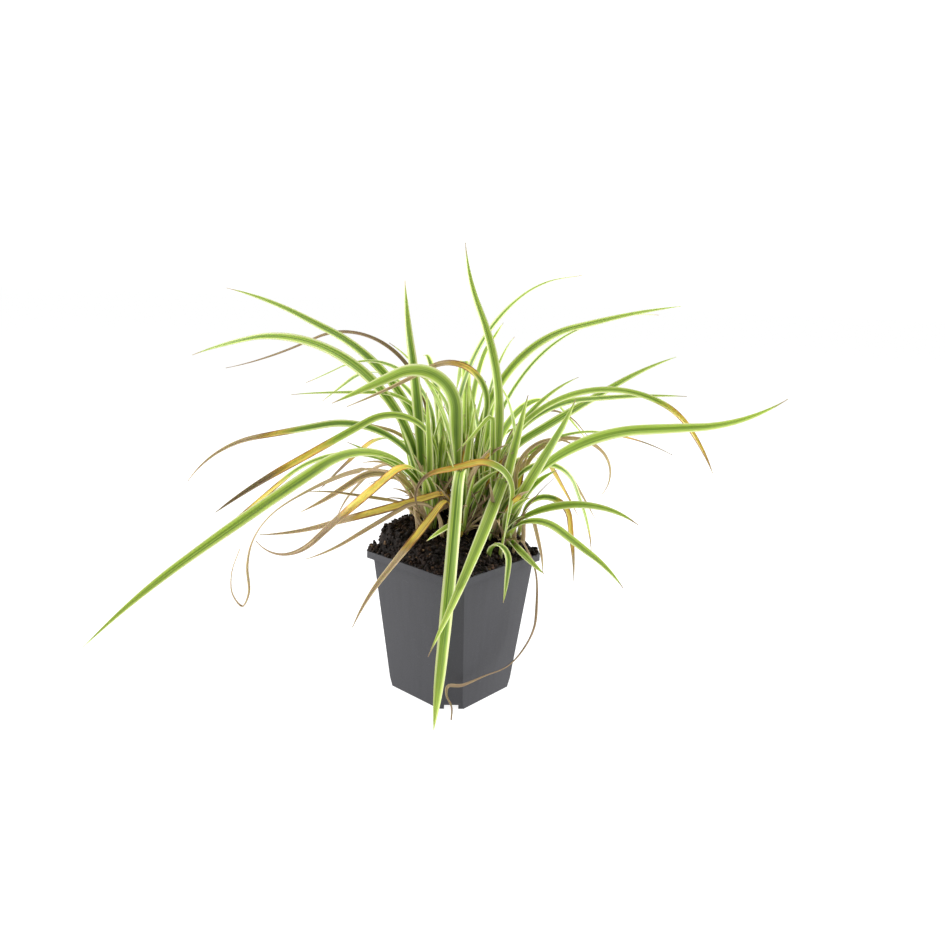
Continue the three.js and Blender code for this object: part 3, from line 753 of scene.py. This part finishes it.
def crumb_shape():
    """One crumb's points and faces: a small ball, pinched and dented."""
    deselect_all()
    bpy.ops.mesh.primitive_ico_sphere_add(subdivisions=2, radius=1)
    crumb = bpy.context.view_layer.objects.active
    for vertex in crumb.data.vertices:
        dent = noise.noise(vertex.co * 1.9 + Vector((4.1, 2.7, 9.3)))
        vertex.co *= 1 + 0.75 * dent
    apply_modifier(crumb, "DECIMATE", ratio=0.5)
    points = np.array([v.co for v in crumb.data.vertices])
    faces = np.array([list(f.vertices) for f in crumb.data.polygons])
    bpy.data.objects.remove(crumb)
    return points, faces


def make_crumbs():
    """Loose crumbs over the heap, thicker along its edge, where some lie on the rim."""
    settings = bpy.context.scene.sedge_soil
    draw = random.Random(11)
    points, faces = crumb_shape()
    rim = (RIM_HALF_WIDTH, RIM_CORNER)
    corners, sides, tones = [], [], []
    for number in range(settings.crumbs):
        angle = draw.uniform(0, 2 * math.pi)
        on_edge = draw.random() < EDGE_CRUMBS
        share = draw.uniform(0.9, 1.12) if on_edge else math.sqrt(draw.random()) * 0.96
        reach = reach_of(SOIL_TOP_SIZE, angle) * share
        x, y = math.cos(angle) * reach, math.sin(angle) * reach
        size = draw.choice((0.45, 0.6, 0.8, 1.0, 1.25, 1.7))
        radius = settings.crumb / MM * size * draw.uniform(0.8, 1.2)
        if share > 1.0:
            reach = min(reach, reach_of(rim, angle) - 0.6 - radius)
            x, y = math.cos(angle) * reach, math.sin(angle) * reach
            z = POT_HEIGHT + radius * draw.uniform(0.3, 0.9)
        else:
            z = soil_height(x, y) + radius * draw.uniform(0.0, 0.7)
            z = max(z, POT_HEIGHT - 1.2) if share > 0.97 else z
        spin = draw.uniform(0, 6.28)
        axis = Vector([draw.gauss(0, 1) for _ in range(3)]).normalized()
        turn = Matrix.Rotation(spin, 3, axis)
        stretch = np.array([draw.uniform(0.6, 1.5), draw.uniform(0.6, 1.2), draw.uniform(0.5, 1.0)])
        placed = (points * stretch * radius) @ np.array(turn).T + np.array([x, y, z])
        sides.append(faces + len(points) * number)
        corners.append(placed * MM)
        tones.extend([draw.random()] * len(points))
    mesh = bpy.data.meshes.new("crumbs")
    mesh.from_pydata(np.concatenate(corners).tolist(), [], np.concatenate(sides).tolist())
    crumbs = bpy.data.objects.new("crumbs", mesh)
    bpy.context.scene.collection.objects.link(crumbs)
    set_tone(crumbs, tones)
    return crumbs


def make_fibres():
    """Thin pale root threads that lie over the heap."""
    draw = random.Random(5)
    curve = bpy.data.curves.new("fibres", "CURVE")
    curve.dimensions = "3D"
    curve.bevel_depth = 0.16 * MM
    curve.bevel_resolution = 0
    curve.use_fill_caps = True
    for _ in range(bpy.context.scene.sedge_soil.fibres):
        angle, share = draw.uniform(0, 6.28), draw.uniform(0.3, 1.0)
        reach = reach_of(SOIL_TOP_SIZE, angle) * share
        x, y = math.cos(angle) * reach, math.sin(angle) * reach
        heading, turn = draw.uniform(0, 6.28), draw.uniform(-0.5, 0.5)
        spline = curve.splines.new("POLY")
        count = draw.randint(6, 12)
        spline.points.add(count - 1)
        for n in range(count):
            arch = 1.6 * math.sin(math.pi * n / (count - 1)) * draw.uniform(0.4, 1.2)
            z = soil_height(x, y) + 0.5 + arch
            spline.points[n].co = (x * MM, y * MM, z * MM, 1)
            spline.points[n].radius = 1 - 0.6 * n / count
            heading += turn + draw.uniform(-0.3, 0.3)
            x, y = x + math.cos(heading) * 1.3, y + math.sin(heading) * 1.3
            far = math.hypot(x, y) / reach_of((RIM_HALF_WIDTH - 1, RIM_CORNER), math.atan2(y, x))
            if far > 1:
                x, y = x / far, y / far
    fibres = bpy.data.objects.new("fibres", curve)
    bpy.context.scene.collection.objects.link(fibres)
    use_only(fibres)
    bpy.ops.object.convert(target="MESH")
    fibres = bpy.context.view_layer.objects.active
    set_tone(fibres, [1.0] * len(fibres.data.vertices))
    return fibres


# ------------------------------------------------------------------ blades
def leaf_frame(leaf, s):
    """Directions along the blade, across it and out of its upper face, at a share of its length."""
    heading, lean, droop, start, end, sweep, _, _, twist, curl = leaf
    tilt = math.radians(lean + (droop - lean) * ramp(s, start, end) + curl * ramp(s, CURL_FROM, 1))
    turn = math.radians(heading + sweep * s)
    outward = Vector((math.cos(turn), math.sin(turn), 0))
    up = Vector((0, 0, 1))
    along = up * math.cos(tilt) + outward * math.sin(tilt)
    over = up * math.sin(tilt) - outward * math.cos(tilt)
    over.rotate(Matrix.Rotation(math.radians(twist) * ramp(s, 0, TWIST_TO), 3, along))
    return along, over, over.cross(along)


def leaf_path(leaf, root):
    """Middle points of the blade, evenly spaced from inside the soil to the tip."""
    length = leaf[6]
    centre = Vector((root[0], root[1], soil_height(*root) - ROOT_DEPTH))
    path = [centre.copy()]
    for step in range(FINE_STEPS):
        s = step / FINE_STEPS
        climbing = s * length < ROOT_DEPTH + BEND_ABOVE
        onward = Vector((0, 0, 1)) if climbing else leaf_frame(leaf, s)[0]
        centre += onward * (length / FINE_STEPS)
        path.append(centre.copy())
    return path


def at_share(path, s):
    place = s * (len(path) - 1)
    low = min(int(place), len(path) - 2)
    return path[low].lerp(path[low + 1], place - low)


def blade_strip(columns, rows, point_at):
    """A strip of faces laid by side (-1 to 1) and share of the length; it keeps its UV map."""
    deselect_all()
    bpy.ops.mesh.primitive_grid_add(x_subdivisions=columns, y_subdivisions=rows, size=2)
    strip = bpy.context.view_layer.objects.active
    mesh = strip.data
    flat = np.empty(len(mesh.vertices) * 3)
    mesh.vertices.foreach_get("co", flat)
    flat = flat.reshape(-1, 3)
    row_numbers = np.rint((flat[:, 1] + 1) / 2 * rows).astype(int)
    laid = [point_at(row / rows) for row in range(rows + 1)]
    placed = np.array([laid[row](side) for side, row in zip(flat[:, 0], row_numbers)])
    mesh.vertices.foreach_set("co", (placed * MM).ravel())
    mesh.update()
    return strip, row_numbers / rows


def mark_strip(strip, shares, width, length, tone, ageing):
    """Writes how far each point has aged, the leaf's own tone, and a grain map in millimetres."""
    mesh = strip.data
    yellow_from, dry_from = ageing
    layers = {
        "tone": [tone] * len(shares),
        "yellowing": [smooth(s, yellow_from - 0.02, yellow_from + 0.2) for s in shares],
        "dryness": [smooth(s, dry_from - 0.1, dry_from + 0.12) for s in shares],
    }
    for name, values in layers.items():
        layer = mesh.attributes.new(name, "FLOAT", "POINT")
        layer.data.foreach_set("value", values)
    source = mesh.uv_layers["UVMap"]
    flat = np.empty(len(mesh.loops) * 2)
    source.data.foreach_get("uv", flat)
    flat = flat.reshape(-1, 2) * (width, length) + (tone * 977.0, tone * 431.0)
    mesh.uv_layers.new(name="Grain").data.foreach_set("uv", flat.ravel())
    mesh.uv_layers.active = mesh.uv_layers["UVMap"]


def make_blade(leaf, root, base_radius, tone, ageing, broad=1.0, blunt=False):
    """One leaf, wrapped round its shoot at the foot and opening to a folded blade."""
    length, width = leaf[6], leaf[7]
    path = leaf_path(leaf, root)
    wave = tone * 40
    yellow_from, dry_from = ageing

    def point_at(row):
        s = 1 - (1 - row) ** 1.08
        centre = at_share(path, s)
        _, over, across = leaf_frame(leaf, s)
        dry = smooth(s, dry_from - 0.1, dry_from + 0.15)
        taper = 1 - s ** (11 if blunt else 4)
        spread = 0.42 + 0.4 * ramp(s, 0, 0.2) + 0.18 * ramp(s, 0.2, 0.5)
        half = width / 2 * broad * BROADER * spread * taper * (1 - 0.2 * dry)
        half = max(half, LEAST_HALF)
        fold = half * 2 * (FOLD + 0.3 * dry)
        opened = smooth(s * length, WRAPPED_TO, OPEN_FROM)
        ripple = 0.05 * half * math.sin(s * length * 0.12 + wave)

        def place(side):
            flat_out = across * (side * half) + over * (fold * abs(side) ** 1.35 + ripple * side)
            if opened >= 1:
                return centre + flat_out
            bend = side * 2.5
            wrapped = across * (math.sin(bend) * base_radius) - over * (math.cos(bend) * base_radius)
            return centre + wrapped.lerp(flat_out, opened)

        return place

    rows = max(18, round(length / ROW_SPACING))
    columns = 8 if width > 5 else 6
    strip, shares = blade_strip(columns, rows, point_at)
    mark_strip(strip, shares, width, length, tone, ageing)
    return strip


def finish_blades(strips, name, thickness=None):
    """Joins the blades of a node and gives them their thickness."""
    blades = join(strips, name)
    thickness = thickness or bpy.context.scene.sedge_leaf.thickness
    apply_modifier(blades, "SOLIDIFY", thickness=thickness, offset=0, use_even_offset=False)
    smooth_by_angle(blades, 50)
    return blades


def young_blades():
    """A short young blade for each green shoot outside the right-hand bunch, drawn in order."""
    draw = YOUNG_DRAW

    def next_share():
        nonlocal draw
        draw = draw * YOUNG_FACTOR % YOUNG_MODULUS
        return draw / YOUNG_MODULUS

    while True:
        heading = next_share() * 360
        lean = 1 + next_share() * 4
        droop = 10 + next_share() * 15
        length = YOUNG_LEAST + next_share() * YOUNG_SPARE
        twist = next_share() * 60 - 30
        yield heading, lean, droop, 0.2, 1, 0, length, YOUNG_WIDTH, twist, 0


def catmull(points, count):
    """Evenly spaced points along a smooth curve through the given ones."""
    knots = [Vector(p) for p in points]
    knots = [knots[0] * 2 - knots[1], *knots, knots[-1] * 2 - knots[-2]]
    dense = []
    for a, b, c, d in zip(knots, knots[1:], knots[2:], knots[3:]):
        t0 = 0.0
        t1 = t0 + max((b - a).length, 1e-4) ** 0.5
        t2 = t1 + max((c - b).length, 1e-4) ** 0.5
        t3 = t2 + max((d - c).length, 1e-4) ** 0.5
        for n in range(24):
            t = t1 + (t2 - t1) * n / 24
            ab = a * ((t1 - t) / (t1 - t0)) + b * ((t - t0) / (t1 - t0))
            bc = b * ((t2 - t) / (t2 - t1)) + c * ((t - t1) / (t2 - t1))
            cd = c * ((t3 - t) / (t3 - t2)) + d * ((t - t2) / (t3 - t2))
            low = ab * ((t2 - t) / (t2 - t0)) + bc * ((t - t0) / (t2 - t0))
            high = bc * ((t3 - t) / (t3 - t1)) + cd * ((t - t1) / (t3 - t1))
            dense.append(low * ((t2 - t) / (t2 - t1)) + high * ((t - t1) / (t2 - t1)))
    dense.append(knots[-2])
    gone = [0.0]
    for a, b in zip(dense, dense[1:]):
        gone.append(gone[-1] + (b - a).length)
    wanted = np.linspace(0, gone[-1], count)
    rows = [np.interp(wanted, gone, [p[axis] for p in dense]) for axis in range(3)]
    return [Vector(p) for p in zip(*rows)], gone[-1]


def make_strand(points, tone):
    """A leaf that has dried to a thread and turns over as it hangs."""
    path, length = catmull(points, STRAND_POINTS)

    def point_at(row):
        low = min(int(row * (STRAND_POINTS - 1)), STRAND_POINTS - 2)
        centre = at_share(path, row)
        along = (path[low + 1] - path[low]).normalized()
        outward = Vector((centre.x, centre.y, 0)).normalized()
        across = along.cross(outward).normalized()
        over = along.cross(across)
        spin = 0.7 * math.sin(row * 9 + tone * 20)
        c, s = math.cos(spin), math.sin(spin)
        across, over = across * c + over * s, over * c - across * s
        half = 1.35 * (1 - 0.6 * row**3) * (0.8 + 0.3 * math.sin(row * 14 + tone * 9))

        def lay(side):
            return centre + across * (side * half) + over * (half * 0.7 * side * side)

        return lay

    strip, shares = blade_strip(4, 150, point_at)
    mark_strip(strip, shares, STRAND_WIDTH, length, tone, DRY)
    return strip


def shoot_roots():
    return [root for shoots in GREEN_SHOOTS.values() for root, _ in shoots]


def make_heart():
    """Short blades between the long ones, some of them yellowed or dry."""
    draw = random.Random(41)
    strips = []
    for x, y in shoot_roots():
        for _ in range(5):
            turn, far = draw.uniform(0, 2 * math.pi), draw.uniform(0.5, 5.5)
            root = (x + math.cos(turn) * far, y + math.sin(turn) * far)
            lean = draw.uniform(-4, 16)
            leaf = (
                math.degrees(math.atan2(root[1], root[0] + 8)) + draw.uniform(-70, 70), lean,
                lean + draw.uniform(8, 75), 0.2, 1, draw.uniform(-8, 8), draw.uniform(32, 82),
                draw.uniform(4.2, 8.2), draw.uniform(-60, 60), 0,
            )
            ageing = draw.choice((TIP_AGEING, TIP_AGEING, TIP_AGEING, (0.4, 0.8), (-1, 0.4)))
            strips.append(make_blade(leaf, root, INNER_RADIUS, draw.random() * 0.6, ageing))
    return finish_blades(strips, "heart_blades")


def make_litter():
    """Papery remains of old leaf bases that stand and lie round the shoots."""
    draw = random.Random(23)
    strips = []
    for x, y in shoot_roots():
        for _ in range(11):
            heading = draw.uniform(0, 360)
            length = draw.choice((12, 18, 26, 38, 52)) * draw.uniform(0.8, 1.2)
            width = draw.uniform(1.6, 4.8)
            far = draw.uniform(1.8, 4.2)
            turn = math.radians(heading)
            root = (x + math.cos(turn) * far, y + math.sin(turn) * far)
            out = math.hypot(*root) / reach_of(SOIL_TOP_SIZE, math.atan2(root[1], root[0]))
            if out > 0.92:
                continue
            lean = draw.uniform(4, 30)
            droop = lean + draw.uniform(10, 90)
            leaf = (
                heading, lean, droop, 0.1, 1, draw.uniform(-25, 25), length + ROOT_DEPTH, width,
                draw.uniform(-50, 50), 0,
            )
            path = leaf_path(leaf, root)

            def point_at(row, leaf=leaf, path=path):
                centre = at_share(path, row)
                _, over, across = leaf_frame(leaf, row)
                half = leaf[7] / 2 * (1 - row**2.2) + 0.1

                def place(side):
                    return centre + across * (side * half) + over * (half * 0.7 * side * side)

                return place

            strip, shares = blade_strip(4, 9, point_at)
            mark_strip(strip, shares, width, length, draw.uniform(0.6, 1.1), DRY)
            strips.append(strip)
    return finish_blades(strips, "old_leaf_bases", LITTER_THICKNESS * MM)


# ------------------------------------------------------------------ operators
class SEDGE_OT_stage(bpy.types.Operator):
    """Adds the floor, the soft lights and the camera"""

    bl_idname = "sedge.stage"
    bl_label = "Stage"

    def execute(self, context):
        deselect_all()
        bpy.ops.mesh.primitive_plane_add(size=60)
        floor = context.view_layer.objects.active
        floor.name = "floor"
        floor.data.materials.append(pale_floor())
        context.scene.world = studio_world()
        for name, place, size, power in SOFTBOXES:
            bpy.ops.object.light_add(type="AREA", location=place)
            light = context.view_layer.objects.active
            light.name = name
            light.data.size = size
            light.data.energy = power
            aim = Vector(LIT_POINT) - Vector(place)
            light.rotation_euler = aim.to_track_quat("-Z", "Y").to_euler()
        bpy.ops.object.camera_add()
        camera = context.view_layer.objects.active
        camera.name = "camera"
        turn = Matrix(CAMERA_AXES).transposed().to_4x4()
        camera.matrix_world = Matrix.Translation(Vector(CAMERA_PLACE) * MM) @ turn
        camera.data.sensor_width = 36
        camera.data.lens = CAMERA_LENS
        camera.data.clip_start = 0.01
        context.scene.camera = camera
        context.scene.view_settings.view_transform = "Standard"
        return {"FINISHED"}


class SEDGE_OT_pot(bpy.types.Operator):
    """Adds the nursery pot"""

    bl_idname = "sedge.pot"
    bl_label = "Pot"

    def execute(self, context):
        dress(make_pot(), pot_plastic(), "pot", "pot")
        return {"FINISHED"}


class SEDGE_OT_soil(bpy.types.Operator):
    """Adds the heap of soil with its crumbs and root threads"""

    bl_idname = "sedge.soil"
    bl_label = "Soil"

    def execute(self, context):
        soil = join([make_heap(), make_crumbs(), make_fibres()], "potting_soil")
        smooth_by_angle(soil, 180)
        dress(soil, damp_soil(), "soil", "soil")
        return {"FINISHED"}


class SEDGE_OT_green_leaves(bpy.types.Operator):
    """Adds the green shoots, one piece for each bunch"""

    bl_idname = "sedge.green_leaves"
    bl_label = "Green shoots"

    def execute(self, context):
        material = leaf_blade("green_leaf")
        draw = random.Random(3)
        young = young_blades()
        for node, shoots in GREEN_SHOOTS.items():
            strips = []
            for number, (root, leaves) in enumerate(shoots):
                radius = SHEATH_RADIUS
                for order, leaf in enumerate(leaves):
                    key = (node, number, order)
                    look = (AGEING.get(key, TIP_AGEING), BROAD.get(key, 1.0), key in BLUNT)
                    strips.append(make_blade(leaf, root, radius, draw.random(), *look))
                    radius = max(radius - 0.45, 1.0)
                if node != "shoots_right":
                    tone = draw.random()
                    strips.append(make_blade(next(young), root, INNER_RADIUS, tone, TIP_AGEING))
            dress(finish_blades(strips, node + "_blades"), material, "green_leaf", node)
        return {"FINISHED"}


class SEDGE_OT_ageing_leaves(bpy.types.Operator):
    """Adds the yellow and dry leaves that stand by themselves, one piece each"""

    bl_idname = "sedge.ageing_leaves"
    bl_label = "Yellow and dry leaves"

    def execute(self, context):
        materials = {kind: leaf_blade(kind + "_single_leaf") for kind in ("green", "yellow", "dry")}
        draw = random.Random(8)
        for node, (root, leaf) in SINGLE_LEAVES.items():
            kind, key = node.split("_")[0], (node, 0, 0)
            ageing = AGEING.get(key, TIP_AGEING if kind == "green" else DRY)
            strip = make_blade(leaf, root, SINGLE_RADIUS, draw.random(), ageing, BROAD.get(key, 1.0))
            dress(finish_blades([strip], node + "_blade"), materials[kind], kind + "_leaf", node)
        for node, points in STRANDS.items():
            strip = make_strand(points, draw.random())
            dress(finish_blades([strip], node + "_thread"), materials["dry"], "dry_leaf", node)
        return {"FINISHED"}


class SEDGE_OT_heart(bpy.types.Operator):
    """Adds the short blades that fill the heart of the tussock"""

    bl_idname = "sedge.heart"
    bl_label = "Heart of the tussock"

    def execute(self, context):
        dress(make_heart(), leaf_blade("heart_leaf"), "green_leaf")
        return {"FINISHED"}


class SEDGE_OT_litter(bpy.types.Operator):
    """Adds the papery old leaf bases round the shoots"""

    bl_idname = "sedge.litter"
    bl_label = "Old leaf bases"

    def execute(self, context):
        dress(make_litter(), leaf_blade("old_leaf_base"), "dry_leaf")
        return {"FINISHED"}


class SEDGE_PT_panel(bpy.types.Panel):
    """Lists the sedge's pieces and their settings"""

    bl_idname = "SEDGE_PT_panel"
    bl_label = "Potted sedge"
    bl_space_type = "VIEW_3D"
    bl_region_type = "UI"
    bl_category = "Sedge"

    def draw(self, context):
        for operator in OPERATORS:
            self.layout.operator(operator.bl_idname)
        for name, group in SETTINGS.items():
            box = self.layout.box()
            for setting in group.__annotations__:
                box.prop(getattr(context.scene, name), setting)


OPERATORS = (
    SEDGE_OT_stage,
    SEDGE_OT_pot,
    SEDGE_OT_soil,
    SEDGE_OT_green_leaves,
    SEDGE_OT_ageing_leaves,
    SEDGE_OT_heart,
    SEDGE_OT_litter,
)
CLASSES = (*SETTINGS.values(), *OPERATORS, SEDGE_PT_panel)


def register():
    for made in CLASSES:
        bpy.utils.register_class(made)
    for name, group in SETTINGS.items():
        setattr(bpy.types.Scene, name, PointerProperty(type=group))


def unregister():
    for name in SETTINGS:
        delattr(bpy.types.Scene, name)
    for made in reversed(CLASSES):
        bpy.utils.unregister_class(made)


def main():
    register()
    bpy.ops.sedge.stage()
    bpy.ops.sedge.pot()
    bpy.ops.sedge.soil()
    bpy.ops.sedge.green_leaves()
    bpy.ops.sedge.ageing_leaves()
    bpy.ops.sedge.heart()
    bpy.ops.sedge.litter()


if __name__ == "__main__":
    main()
